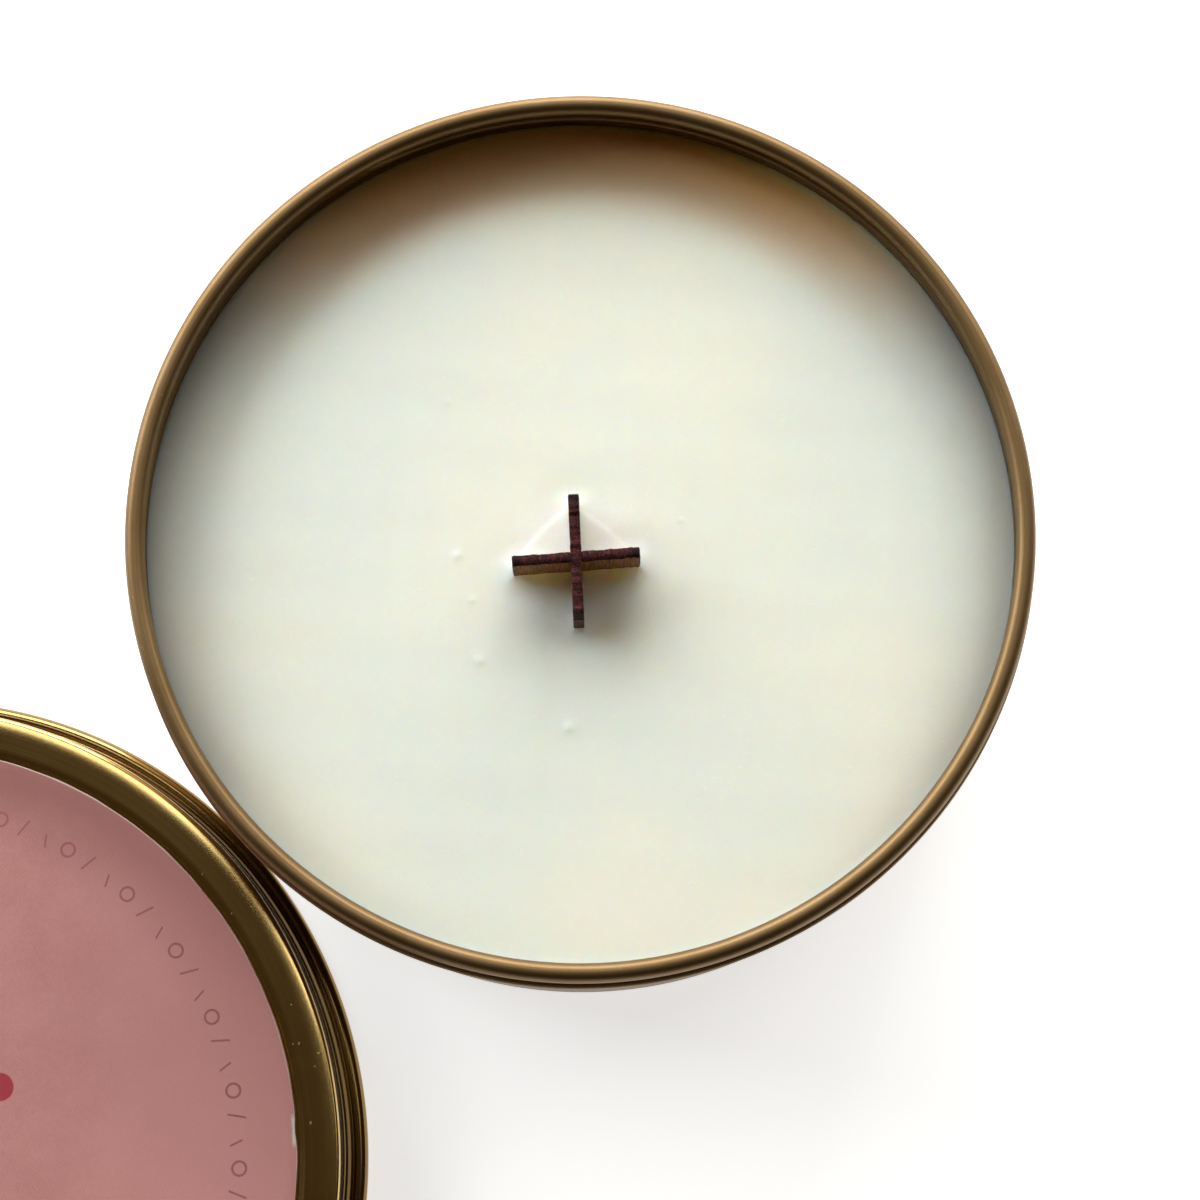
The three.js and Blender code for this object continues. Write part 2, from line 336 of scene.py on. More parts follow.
def wax_height(x, y, wall):
    """Level + rise at the wall + collar at the wick + web + ripple + pimples. The creep and the
    collar are exponentials of a distance, the web is a plateau that ends in a soft step where
    a mix of both distances along the blades passes their reach, the ripple is a product of
    sines and each pimple a Gaussian."""
    radius = np.hypot(x, y)
    near_wick = distance_to_wick(x, y)
    creep = MENISCUS * np.exp(-(wall - radius) / 0.45)
    collar = 0.32 * np.exp(-near_wick / 0.42) - 0.05 * np.exp(-((near_wick - 1.6) / 1.0) ** 2)
    along_side = np.abs(along_blade(x, y, SIDE_TURN)[0])
    along_front = np.abs(along_blade(x, y, FRONT_TURN)[0])
    reach = np.hypot(along_side, along_front) * 0.35 + (along_side + along_front) * 0.65
    web = 0.1 / (1 + np.exp((reach - WEB_REACH) / 0.07))
    ripple = 0.035 * np.sin(0.21 * x + 0.7) * np.cos(0.17 * y - 0.4)
    ripple += 0.012 * np.sin(0.9 * x + 0.5 * y) * np.sin(0.6 * y - 0.8 * x + 1.0)
    height = wax_level + creep + collar + web + ripple
    for px, py, size in PIMPLES:
        height = height + 0.3 * size * np.exp(-((x - px) ** 2 + (y - py) ** 2) / size ** 2)
    return height


STICKER = 0.42  # the wax starts this far above the floor, over the adhesive dot


def wax_plug():
    """A plug from the tin's floor to the surface, as wide as the inside of the tin."""
    wall, body_wall = NECK - SHEET - 0.01, BODY - SHEET - 0.01
    floor = SHEET + STICKER
    outline = profile(
        straight((0, floor), (BODY - BASE_CORNER, floor), 4),
        arc((BODY - BASE_CORNER, BASE_CORNER), BASE_CORNER - SHEET - 0.05, -78, 0, 8),
        straight((body_wall, BASE_CORNER), (body_wall, SHOULDER_LOW), 4),
        straight((wall, SHOULDER_HIGH), (wall, wax_level), 5),
        straight((wall, wax_level), (wall - 3, wax_level), 30),
        straight((wall - 3, wax_level), (0, wax_level), 150),
    )

    def shape(radius, angle, height):
        """Lifts the points of the top to the height of the wax."""
        on_top = height > wax_level - 0.01
        x, y = radius * np.cos(angle), radius * np.sin(angle)
        return radius, np.where(on_top, wax_height(x, y, wall), height)

    return turned("wax_plug", outline, AROUND, shape=shape)


wax_plug_piece = wax_plug()

# %% [markdown]
# ## The wick's blades
#
# Each blade is a strip of thin veneer, cut across the grain at the top and slotted half its
# height so the two interlock. A thin board is two height fields, its front and its back, on
# one grid of width and height. Cells that fall in the slot are left out, and a strip of
# faces joins front to back along every free edge. The fibres run up the blade, so its
# thickness varies with the place across it, and the sawn top is the roughest edge. Each point
# also carries how near it is to that top, as an attribute for the finish.

# %% Blade
def slow_noise(size, seed, smooth):
    """A row of random numbers softened by repeated averaging with both neighbours, and
    scaled so that its largest value is 1."""
    row = np.random.default_rng(seed).normal(size=size)
    for _ in range(smooth):
        row = (np.roll(row, 1) + 2 * row + np.roll(row, -1)) / 4
    return row / np.abs(row).max()


EDGE_ROUND = 0.14  # how far in from an edge the rounding reaches
TOP_ZONE, END_ZONE = 0.8, 0.5  # how far the rough top and the rough ends reach
CHAR_FADE = 0.35


def board_faces(kept):
    """Faces of a board from its kept cells, where the back's points follow the front's: each
    kept cell on both sides, and a wall from front to back wherever a kept cell has no kept
    neighbour."""
    rows = kept.shape[1] + 1
    back = (kept.shape[0] + 1) * rows
    i, j = np.nonzero(kept)
    a = i * rows + j
    b, d, e = a + rows, a + 1, a + rows + 1
    faces = [np.stack([a, b, e, d], 1), np.stack([a, d, e, b], 1) + back]
    padded = np.pad(kept, 1)
    for neighbour, first, second in (
        (padded[1:-1, :-2], 0, rows),
        (padded[2:, 1:-1], rows, rows + 1),
        (padded[1:-1, 2:], rows + 1, 1),
        (padded[:-2, 1:-1], 1, 0),
    ):
        i, j = np.nonzero(kept & ~neighbour)
        corner = i * rows + j
        p, q = corner + first, corner + second
        faces.append(np.stack([q, p, p + back, q + back], 1))
    return np.concatenate(faces)


def wick_blade(name, low, high, slot, turn, seed):
    """A board of width x height cells: y = +-half thickness x edge rounding + fibre relief,
    where the rounding is a quarter ellipse over the last tenth of a millimetre. The attribute
    char is e to the power of minus the distance below the top over its fade."""
    across, up = 96, 120
    x = np.linspace(-BLADE_LONG / 2, BLADE_LONG / 2, across + 1)
    share = np.linspace(0, 1, up + 1) ** 0.6
    z = low + (high - low) * share
    grid_x, grid_z = np.meshgrid(x, z, indexing="ij")
    middle_x = (x[:-1] + x[1:]) / 2
    middle_z = (z[:-1] + z[1:]) / 2
    in_slot = (np.abs(middle_x)[:, None] < slot["half"]) & (
        (middle_z[None] > slot["from"]) & (middle_z[None] < slot["to"]))
    kept = ~in_slot

    padded = np.pad(kept, 1)
    enclosed = padded[1:, 1:] & padded[:-1, 1:] & padded[1:, :-1] & padded[:-1, :-1]
    edge = np.minimum.reduce([
        BLADE_LONG / 2 - np.abs(grid_x), high - grid_z, grid_z - low,
    ])
    edge = np.where(enclosed, np.maximum(edge, 0), 0)
    round_off = np.sqrt(1 - (1 - np.clip(edge / EDGE_ROUND, 0, 1)) ** 2)
    fibres = 0.022 * slow_noise(across + 1, seed, 1) + 0.03 * slow_noise(across + 1, seed + 1, 6)
    chatter = 0.012 * slow_noise(up + 1, seed + 2, 2)
    relief = fibres[:, None] + chatter[None] * slow_noise(across + 1, seed + 3, 3)[:, None]
    half = BLADE_THICK / 2 * (0.86 + 0.14 * round_off)
    top_rough = 0.1 * slow_noise(across + 1, seed + 4, 2) + 0.08 * slow_noise(across + 1, seed + 5, 12)
    near_top = np.clip((grid_z - (high - TOP_ZONE)) / TOP_ZONE, 0, 1)
    end_rough = 0.05 * slow_noise(up + 1, seed + 6, 2)
    near_end = np.clip((np.abs(grid_x) - (BLADE_LONG / 2 - END_ZONE)) / END_ZONE, 0, 1)
    shift_z = (top_rough[:, None] - 0.1) * near_top
    shift_x = end_rough[None] * near_end * np.sign(grid_x)

    c, s = math.cos(math.radians(turn)), math.sin(math.radians(turn))

    def placed(side):
        """The points of one face, on the side of -1 or 1, turned and moved to the wick."""
        px = grid_x + shift_x
        py = side * (half + relief)
        return np.stack([
            wick_centre[0] + c * px - s * py,
            wick_centre[1] + s * px + c * py,
            grid_z + shift_z,
        ], -1).reshape(-1, 3)

    points = np.concatenate([placed(-1), placed(1)])
    in_use, faces = np.unique(board_faces(kept), return_inverse=True)
    piece = make_mesh(name, points[in_use], faces.reshape(-1, 4))
    below_top = np.tile((high - grid_z).ravel(), 2)[in_use]
    char = np.exp(-below_top / CHAR_FADE)
    layer = piece.data.attributes.new("char", "FLOAT", "POINT")
    layer.data.foreach_set("value", char.astype(np.float32))
    return piece


slot_middle = (wick_low[2] + wick_high[2]) / 2
side_blade = wick_blade(
    "wick_side", wick_low[2], wick_high[2],
    {"half": 0.5, "from": slot_middle, "to": wick_high[2] + 1}, SIDE_TURN, 11,
)
front_blade = wick_blade(
    "wick_front", wick_low[2], wick_high[2],
    {"half": 0.5, "from": wick_low[2] - 1, "to": slot_middle}, FRONT_TURN, 29,
)

# %% [markdown]
# ## The lid
#
# The lid is pressed from gold-lacquered sheet. Its flat panel lies a little below a raised
# crest. The crest ends in a brow, a gentle curve of a large radius that carries one broad
# highlight, and then turns a tight corner into the skirt. The skirt carries the thread,
# pressed inwards, and its lower edge is rolled outwards into a hem. The profile starts under
# the panel, goes down inside the skirt, round the hem, and back up outside.

# %% Lid shell
SKIRT, PANEL, PANEL_DROP, PANEL_STEP = 40.5, 36.9, 0.3, 0.7
CORNER, BROW, BROW_TILT = 0.4, 8.0, 8.0
HEM, HEM_TOP = 0.85, 2.5


def lid_outline():
    """The lid's profile from the middle of its underside, round the hem, to the top."""
    panel_z, under = lid_height - PANEL_DROP, lid_height - SHEET
    tilt = math.radians(BROW_TILT)
    crest = SKIRT - CORNER + (CORNER - BROW) * math.sin(tilt)
    corner_z = lid_height - BROW + (BROW - CORNER) * math.cos(tilt)
    skirt_foot = HEM_TOP + 0.3
    hem_centre = hem_radius - HEM
    return profile(
        straight((0, panel_z - SHEET), (PANEL, panel_z - SHEET), 30),
        sink((PANEL, panel_z - SHEET), (PANEL + PANEL_STEP, under), 8),
        arc((SKIRT - SHEET - CORNER, under - CORNER), CORNER, 90, 0, 8),
        straight((SKIRT - SHEET, under - CORNER), (SKIRT - SHEET, skirt_foot), 34),
        ease((SKIRT - SHEET, skirt_foot), (hem_centre - HEM, HEM + 0.2), 8),
        arc((hem_centre, HEM), HEM, 180, 480, 34),
        ease((hem_centre + HEM * math.cos(math.radians(120)), 2 * HEM - 0.1),
             (SKIRT, skirt_foot), 8),
        straight((SKIRT, skirt_foot), (SKIRT, corner_z), 34),
        arc((SKIRT - CORNER, corner_z), CORNER, 0, 90 - BROW_TILT, 12),
        arc((crest, lid_height - BROW), BROW, 90 - BROW_TILT, 90, 16),
        straight((crest, lid_height), (PANEL + PANEL_STEP, lid_height), 8),
        sink((PANEL + PANEL_STEP, lid_height), (PANEL, panel_z), 12),
        straight((PANEL, panel_z), (0, panel_z), 30),
    )


def lid_shape(radius, angle, height):
    """Adds the thread to the skirt and a wave of a few hundredths all round."""
    thread_top = lid_height - 2 * CORNER
    in_skirt = (height > HEM_TOP) & (height < thread_top) & (radius > WALL_FROM)
    radius = radius + np.where(in_skirt, pressed_thread(angle, height, LID_THREAD), 0)
    return radius + 0.015 * np.sin(3 * angle + 1.0) * (radius > WALL_FROM), height


lid_turned = turned("lid_pressing", lid_outline(), AROUND, lid_centre, lid_shape)

# %% [markdown]
# ## The liner and the label
#
# A thin foam disc fills the inside of the lid, and the rim of the tin has left a faint ring
# in it. The label is a disc of uncoated paper, die-cut, so its edge wanders by a few
# hundredths of a millimetre, and at one place the edge has been rubbed and shows white.

# %% Discs
LABEL_RADIUS = (label_high[0] - label_low[0]) / 2
LINER_RADIUS = (liner_high[0] - liner_low[0]) / 2
LABEL_SINK = 0.04  # the adhesive beds the paper this far into the lacquer
CHIP_TURN = 5.0  # where the label's edge is worn, in degrees from +X


def disc_outline(radius, low, high, edge, rows):
    """A flat disc with its rim rounded by quarter circles of the edge radius."""
    return profile(
        straight((0, low), (radius - edge, low), rows),
        arc((radius - edge, low + edge), edge, -90, 0, 5),
        arc((radius - edge, high - edge), edge, 0, 90, 5),
        straight((radius - edge, high), (0, high), rows),
    )


def liner_shape(radius, angle, height):
    """Presses a shallow ring into the underside where the tin's rim bears on it."""
    under = height < (liner_low[2] + liner_high[2]) / 2
    ring = 0.12 * np.exp(-((radius - (LINER_RADIUS - 0.9)) / 0.5) ** 2)
    return radius, height + np.where(under, ring, 0)


def label_shape(radius, angle, height):
    """Moves the cut edge in and out by sines, with one worn dip, and lifts it a hair."""
    edge = np.clip((radius - (LABEL_RADIUS - 0.6)) / 0.6, 0, 1)
    wander = 0.03 * np.sin(7 * angle) + 0.02 * np.sin(23 * angle + 1) + 0.012 * np.sin(61 * angle)
    worn = np.degrees((angle + np.pi) % (2 * np.pi) - np.pi) - CHIP_TURN
    dip = 0.12 * np.exp(-(worn / 1.6) ** 2)
    lift = 0.03 * edge * (0.5 + 0.5 * np.sin(4 * angle + 0.5))
    return radius + edge * (wander - dip), height + lift - LABEL_SINK


liner_disc = turned(
    "liner_disc", disc_outline(LINER_RADIUS, liner_low[2], liner_high[2], 0.25, 60),
    256, lid_centre, liner_shape)
label_disc = turned(
    "label_disc", disc_outline(LABEL_RADIUS, label_low[2], label_high[2], 0.05, 40),
    AROUND, lid_centre, label_shape)

# %% [markdown]
# ## Writing a finish as arithmetic
#
# A finish is a node tree, and a node tree is easier to read as sums. A Wire holds one output
# socket, and adding, multiplying or raising wires adds the Math nodes. Every other node
# comes from one method that sets the node's own settings first and then its inputs. A Wire
# without a socket only knows its tree, and starts one.

# %% Wires
class Wire:
    """One output socket of a finish. Arithmetic on it adds Math nodes to its tree."""

    def __init__(self, tree, socket=None):
        self.tree, self.socket = tree, socket

    def node(self, kind, settings=None, inputs=None, output=0):
        """Adds a node: its settings first, then a value or a wire for each input. Returns a
        wire of one output."""
        made = self.tree.nodes.new(kind)
        for key, value in (settings or {}).items():
            setattr(made, key, value)
        for key, value in (inputs or {}).items():
            if isinstance(value, Wire):
                self.tree.links.new(value.socket, made.inputs[key])
            else:
                made.inputs[key].default_value = value
        return Wire(self.tree, made.outputs[output])

    def math(self, operation, *values):
        """This wire, and any further values, through one Math node."""
        inputs = dict(enumerate((self, *values)))
        return self.node("ShaderNodeMath", {"operation": operation}, inputs)

    def __add__(self, other):
        return self.math("ADD", other)

    def __sub__(self, other):
        return self.math("SUBTRACT", other)

    def __rsub__(self, other):
        return self.node("ShaderNodeMath", {"operation": "SUBTRACT"}, {0: other, 1: self})

    def __mul__(self, other):
        return self.math("MULTIPLY", other)

    def __truediv__(self, other):
        return self.math("DIVIDE", other)

    def __pow__(self, other):
        return self.math("POWER", other)

    def __abs__(self):
        return self.math("ABSOLUTE")

    __radd__ = __add__
    __rmul__ = __mul__

    def step(self, low, high):
        """0 below low, 1 above high, smooth between; low may be the larger one."""
        inputs = {"Value": self, "From Min": low, "From Max": high}
        return self.node("ShaderNodeMapRange", {"interpolation_type": "SMOOTHSTEP"}, inputs)

    def tint(self, first, second):
        """The first colour where this wire is 0, the second where it is 1."""
        inputs = {0: self}
        for key, value in ((6, first), (7, second)):
            inputs[key] = value if isinstance(value, Wire) else (*value, 1)
        settings = {"data_type": "RGBA", "clamp_factor": True}
        return self.node("ShaderNodeMix", settings, inputs, output=2)

    def vector(self, operation, *values, output=0):
        """This wire, and any further values, through one Vector Math node."""
        inputs = dict(enumerate((self, *values)))
        return self.node("ShaderNodeVectorMath", {"operation": operation}, inputs, output)

    def turn(self, degrees, location=(0, 0, 0), scale=(1, 1, 1)):
        """This place scaled, turned about Z and moved, by a Mapping node."""
        inputs = {"Vector": self, "Rotation": (0, 0, math.radians(degrees)),
                  "Location": location, "Scale": scale}
        return self.node("ShaderNodeMapping", {"vector_type": "POINT"}, inputs)

    def noise(self, scale, detail=2.0, rough=0.5, warp=0.0):
        """Noise of 0 to 1 at this wire's place."""
        inputs = {"Vector": self, "Scale": scale, "Detail": detail,
                  "Roughness": rough, "Distortion": warp}
        return self.node("ShaderNodeTexNoise", {}, inputs)

    def parts(self):
        """The x, y and z of a vector wire."""
        split = self.node("ShaderNodeSeparateXYZ", {}, {0: self})
        sockets = split.socket.node.outputs
        return [Wire(self.tree, socket) for socket in sockets]

    def join(self, x, y, z):
        """A vector from three values or wires."""
        return self.node("ShaderNodeCombineXYZ", {}, {0: x, 1: y, 2: z})


# %% Finishes
def new_finish(name, centre=(0, 0), turn=0.0, **constants):
    """A material with one Principled shader. The constants go on the shader's own sockets.
    It returns the material and a wire of the place in millimetres, about a centre and turned
    by some degrees."""
    material = bpy.data.materials.new(name)
    material.use_nodes = True
    tree = material.node_tree
    shader = tree.nodes["Principled BSDF"]
    for key, value in constants.items():
        shader.inputs[key.replace("_", " ")].default_value = value
    place = Wire(tree).node("ShaderNodeTexCoord", output="Object")
    to_millimetres = {0: place, "Scale": 1 / MM}
    millimetres = place.node("ShaderNodeVectorMath", {"operation": "SCALE"}, to_millimetres)
    return material, millimetres.vector("SUBTRACT", (*centre, 0.0)).turn(turn)


def feed(material, **wires):
    """Links wires into the Principled shader, by socket name."""
    shader = material.node_tree.nodes["Principled BSDF"]
    for key, wire in wires.items():
        material.node_tree.links.new(wire.socket, shader.inputs[key.replace("_", " ")])


def relief(height, distance):
    """A normal from a height wire, where a height of 1 stands for distance millimetres."""
    inputs = {"Height": height, "Distance": distance * MM, "Strength": 1.0}
    return height.node("ShaderNodeBump", {}, inputs)


def dress(piece, material, body, slot, *nodes):
    """Gives a piece its finish and its body, and hides the CAD nodes it stands for. The
    slot argument is not used.
    """
    piece.data.materials.clear()
    piece.data.materials.append(material)
    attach(piece, body)
    if nodes:
        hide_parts(*nodes)


def polar(place):
    """The radius, the angle as a share of a turn, and the height of a place."""
    x, y, z = place.parts()
    flat = place.join(x, y, 0.0)
    radius = flat.vector("LENGTH", output=1)
    angle = y.math("ARCTAN2", x) / (2 * math.pi)
    return radius, angle, z


# %% [markdown]
# ## Lacquered metal
#
# Both metals are sheet under a coloured lacquer. The tin is an antique bronze with a satin
# finish that spreads a highlight into a soft band; the lid is a brighter gold, smoother, and
# keeps sharper reflections with fine scratches. The skirt and hem of the lid are painted a
# dark brown, a painted shade that keeps their reflections dim. One function makes both. It
# draws fine rings round the axis, as turning leaves, a mottle in the lacquer, specks of dust
# and short scratches, and feeds them to colour, roughness and a shallow bump.

# %% Metal
def scratches(place, turn, seed, density):
    """Thin sparse lines: noise squeezed across one direction, cut to its highest crests, and
    kept only where a broad noise is high."""
    lines = place.turn(turn, (seed, seed * 2.0, 0.0), (0.35, 9.0, 1.0))
    crest = lines.noise(1.0, 1.0, 0.4).step(0.72, 0.76)
    patch = place.noise(0.21, 2.0, 0.5).step(1 - density, 1.05 - density)
    return crest * patch


SKIRT_TOP, SKIRT_FOOT = (8.4, 7.6), (1.5, 2.6)


def lacquered(name, centre, dark, bright, rough, spread, marks, coat, painted_skirt_shade=None):
    """Lacquered sheet: rings, mottle, specks and scratches about the piece's own axis. Where
    the skirt colour is given, it is a painted shade: the colour of the skirt, and a share of
    it that of the hem."""
    material, place = new_finish(name, centre, Metallic=1.0, IOR=1.6, Coat_Weight=coat,
                                 Coat_Roughness=0.3, Coat_IOR=1.5)
    radius, angle, height = polar(place)
    around = place.join(radius * 5.0, height * 5.0, abs(angle) * 3.0)
    rings = around.noise(1.0, 3.0, 0.55)
    mottle = place.noise(0.12, 3.0, 0.6)
    grain = place.noise(7.0, 2.0, 0.6)
    specks = place.noise(2.6, 0.0, 0.5).step(0.85, 0.88)
    cuts = scratches(place, 25, 3.0, marks) + scratches(place, -50, 7.0, marks)
    tone = (rings * 0.45 + mottle * 0.4 + grain * 0.15).step(0.3, 0.7)
    colour = tone.tint(dark, bright)
    colour = (specks * 0.2).tint(colour, (0.75, 0.7, 0.6))
    colour = (cuts * 0.25).tint(colour, (0.95, 0.85, 0.6))
    if painted_skirt_shade:
        # Painted shade: the skirt, and in a share the hem, are darkened to dim their reflections.
        skirt_shade_mask = height.step(*SKIRT_TOP) * (height.step(*SKIRT_FOOT) * 0.25 + 0.75)
        colour = (skirt_shade_mask * 0.9).tint(colour, painted_skirt_shade)
    roughness = rough + (rings - 0.5) * spread + (grain - 0.5) * spread + specks * 0.2
    bump = rings * 0.5 + grain * 0.5 + specks * 0.4 - cuts
    feed(material, Base_Color=colour, Roughness=roughness, Normal=relief(bump, 0.002))
    return material


bronze = lacquered(
    "antique_bronze", (0.0, 0.0), dark=(0.165, 0.097, 0.033), bright=(0.235, 0.15, 0.074),
    rough=0.49, spread=0.1, marks=0.22, coat=0.2,
)
gold = lacquered(
    "gold_lacquer", tuple(lid_centre), dark=(0.62, 0.42, 0.15), bright=(0.78, 0.56, 0.23),
    rough=0.17, spread=0.04, marks=0.3, coat=0.0, painted_skirt_shade=(0.13, 0.068, 0.02),
)
dress(tin_shell, bronze, "tin", "bronze_tin", "tin_body")
dress(lid_turned, gold, "lid", "gold_lid", "lid_shell")

# %% [markdown]
# ## Wax
#
# Soy wax is a cream solid that light enters a few millimetres, so shadows on it are soft and
# slightly warm. Its skin is nearly matt. The colour drifts between warm and cool cream, with
# small crystals of frosting that gather round the wick, where the wax cooled slowest. Beside
# the metal it looks dark, and under the far wall amber, because light that enters it there
# comes out coloured by the lacquer. The finish paints that shade, least of all on the near
# side, as the light alone doesn't carry it far enough.

# %% Wax finish
def wax_finish():
    """Subsurface cream with mottle, frosting near the wick and a fine skin. A painted shade
    darkens it by e to the power of minus half the distance to the wall, and a painted amber
    light colours it at the far wall."""
    material, place = new_finish(
        "soy_wax", tuple(wick_centre),
        Subsurface_Weight=1.0, Subsurface_Radius=(1.0, 0.7, 0.4), Subsurface_Scale=0.003,
        IOR=1.44, Specular_IOR_Level=0.4,
    )
    radius = polar(place)[0]
    in_tin = place.vector("ADD", (*wick_centre, 0.0))
    from_middle = polar(in_tin)[0]
    far_side = in_tin.parts()[1] / from_middle
    drift = place.noise(0.035, 2.0, 0.5).step(0.35, 0.65)
    cloud = place.noise(0.5, 4.0, 0.62, 0.6)
    crystals = place.noise(3.2, 4.0, 0.7)
    frost = (radius + (cloud - 0.5) * 3.0).step(7.5, 4.5) * 0.75 + cloud.step(0.62, 0.8) * 0.3
    cream = drift.tint((0.815, 0.855, 0.8), (0.875, 0.88, 0.785))
    frosted = (frost * crystals.step(0.25, 0.75)).tint(cream, (0.87, 0.91, 0.95))
    flecks = place.noise(2.3, 0.0, 0.5).step(0.79, 0.82)
    colour = (flecks * 0.3).tint(frosted, (0.92, 0.93, 0.88))
    # Painted shade beside the metal, and painted amber light under the far wall.
    to_wall = (NECK - SHEET) - from_middle
    backward, forward = far_side.step(0.45, 0.95), far_side.step(-0.45, -0.95)
    depth = 0.74 - backward * 0.62 - forward * 0.6
    painted_wall_shade = (to_wall * -0.5).math("EXPONENT") * depth
    colour = painted_wall_shade.tint(colour, (0.10, 0.06, 0.03))
    amber = to_wall.step(9.5, 0.5) * backward * 0.95
    colour = amber.tint(colour, (0.88, 0.47, 0.11))
    roughness = 0.52 + (cloud - 0.5) * 0.2 - frost * 0.08
    skin = crystals * 0.35 + cloud * 0.65 + flecks * 0.5
    feed(material, Base_Color=colour, Roughness=roughness, Normal=relief(skin, 0.03))
    return material


dress(wax_plug_piece, wax_finish(), "tin", "soy_wax", "wax_fill")

# %% [markdown]
# ## Wood
#
# The blades are dark reddish veneer. The fibres run up the blade as fine streaks, the sawn
# edge at the top is nearly black and keeps the marks of the saw, most of all at its corners,
# and the faces are a warmer brown. The cut ends are dark too. The mesh carries the nearness
# of the top as an attribute, so the finish follows that edge exactly.

# %% Wood finish
def wood_finish(turn):
    """Streaks along the height, dark pores, dark ends and a char along the top edge."""
    material, place = new_finish("wick_veneer", tuple(wick_centre), -turn,
                                 IOR=1.5, Specular_IOR_Level=0.12)
    x, y, z = place.parts()
    fibres = place.join(x * 7.0, y * 7.0, z * 0.45).noise(1.0, 4.0, 0.65, 0.3)
    pores = place.join(x * 16.0, y * 16.0, z * 1.1).noise(1.0, 1.0, 0.5).step(0.62, 0.72)
    end_grain = place.noise(5.5, 3.0, 0.7)
    char = place.node("ShaderNodeAttribute", {"attribute_name": "char"}, output=2)
    face = fibres.step(0.3, 0.7).tint((0.19, 0.075, 0.028), (0.5, 0.25, 0.105))
    face = (pores * 0.6).tint(face, (0.05, 0.018, 0.012))
    sawn = end_grain.step(0.3, 0.75).tint((0.012, 0.002, 0.003), (0.13, 0.022, 0.024))
    saw = place.join(x * 9.0, y * 2.0, z).noise(1.0, 2.0, 0.6).step(0.45, 0.6)
    sawn = (saw * 0.55).tint(sawn, (0.012, 0.003, 0.004))
    from_end = BLADE_LONG / 2 - abs(x)
    burnt = from_end.step(1.3, 0.2) * char
    sawn = (burnt * 0.8).tint(sawn, (0.008, 0.006, 0.006))
    colour = char.step(0.45, 0.9).tint(face, sawn)
    colour = (from_end.step(0.18, 0.05) * 0.85).tint(colour, (0.05, 0.016, 0.014))
    roughness = 0.55 + (fibres - 0.5) * 0.3 + pores * 0.15
    bump = fibres * 0.6 - pores * 0.5 + (end_grain + saw) * char * 0.8
    feed(material, Base_Color=colour, Roughness=roughness, Normal=relief(bump, 0.06))
    return material


dress(side_blade, wood_finish(SIDE_TURN), "tin", "wick_wood", "wick_blade_side")
dress(front_blade, wood_finish(FRONT_TURN), "tin", "wick_wood", "wick_blade_front")

# %% [markdown]
# ## Paper and print
#
# The label is uncoated paper printed all over in dusty pink with a fine screen. Along the
# far edge a painted shade darkens it, and towards the right a painted light makes it a
# little paler. Real labels carry lettering; here a plain ring of small rings and strokes
# stands in its place, with six round dots nearer the middle. A mark is a distance turned
# into a mask: unrolling the ring gives a place along it and a place across it, and each
# repeat draws one small shape.

# %% Label finish
RING_RADIUS, RING_REPEATS = 31.8, 30
DOT_RADIUS, DOT_SIZE, DOT_COUNT, DOT_TURN = 12.8, 1.22, 6, 32.6
FINE_SCREEN, WIDE_SCREEN = 0.36, 0.52  # widths of the two sets of screen lines
EDGE_SHADE_TURN = 78  # where the painted shade along the far edge is deepest, in degrees from +X


def repeat_round(angle, count, offset):
    """A place along the ring within one repeat, from -0.5 to 0.5."""
    return (angle * count + (offset + 0.5)).math("FLOORED_MODULO", 1.0) - 0.5


def ring_marks(radius, angle):
    """Small rings, strokes and ticks in turn round the label, as a mask."""
    across = radius - RING_RADIUS
    wide = 2 * math.pi * RING_RADIUS / RING_REPEATS
    marks = None
    for place_in_repeat, kind in ((0.0, "ring"), (0.33, "stroke"), (0.66, "tick")):
        along = repeat_round(angle, RING_REPEATS, place_in_repeat) * wide
        if kind == "ring":
            away = (along * along + across * across) ** 0.5
            shape = abs(away - 0.6).step(0.14, 0.06)
        elif kind == "stroke":
            shape = abs(along + across * 0.3).step(0.13, 0.05) * abs(across).step(0.85, 0.75)
        else:
            shape = abs(along - across * 0.4).step(0.13, 0.05) * abs(across + 0.25).step(0.6, 0.5)
        marks = shape if marks is None else marks.math("MAXIMUM", shape)
    return marks


def dot_marks(radius, angle):
    """Six round dots on a smaller ring, as a mask."""
    along = repeat_round(angle, DOT_COUNT, -DOT_TURN / 360 * DOT_COUNT)
    x = along * (2 * math.pi * DOT_RADIUS / DOT_COUNT)
    y = radius - DOT_RADIUS
    return ((x * x + y * y) ** 0.5).step(DOT_SIZE + 0.05, DOT_SIZE - 0.05)


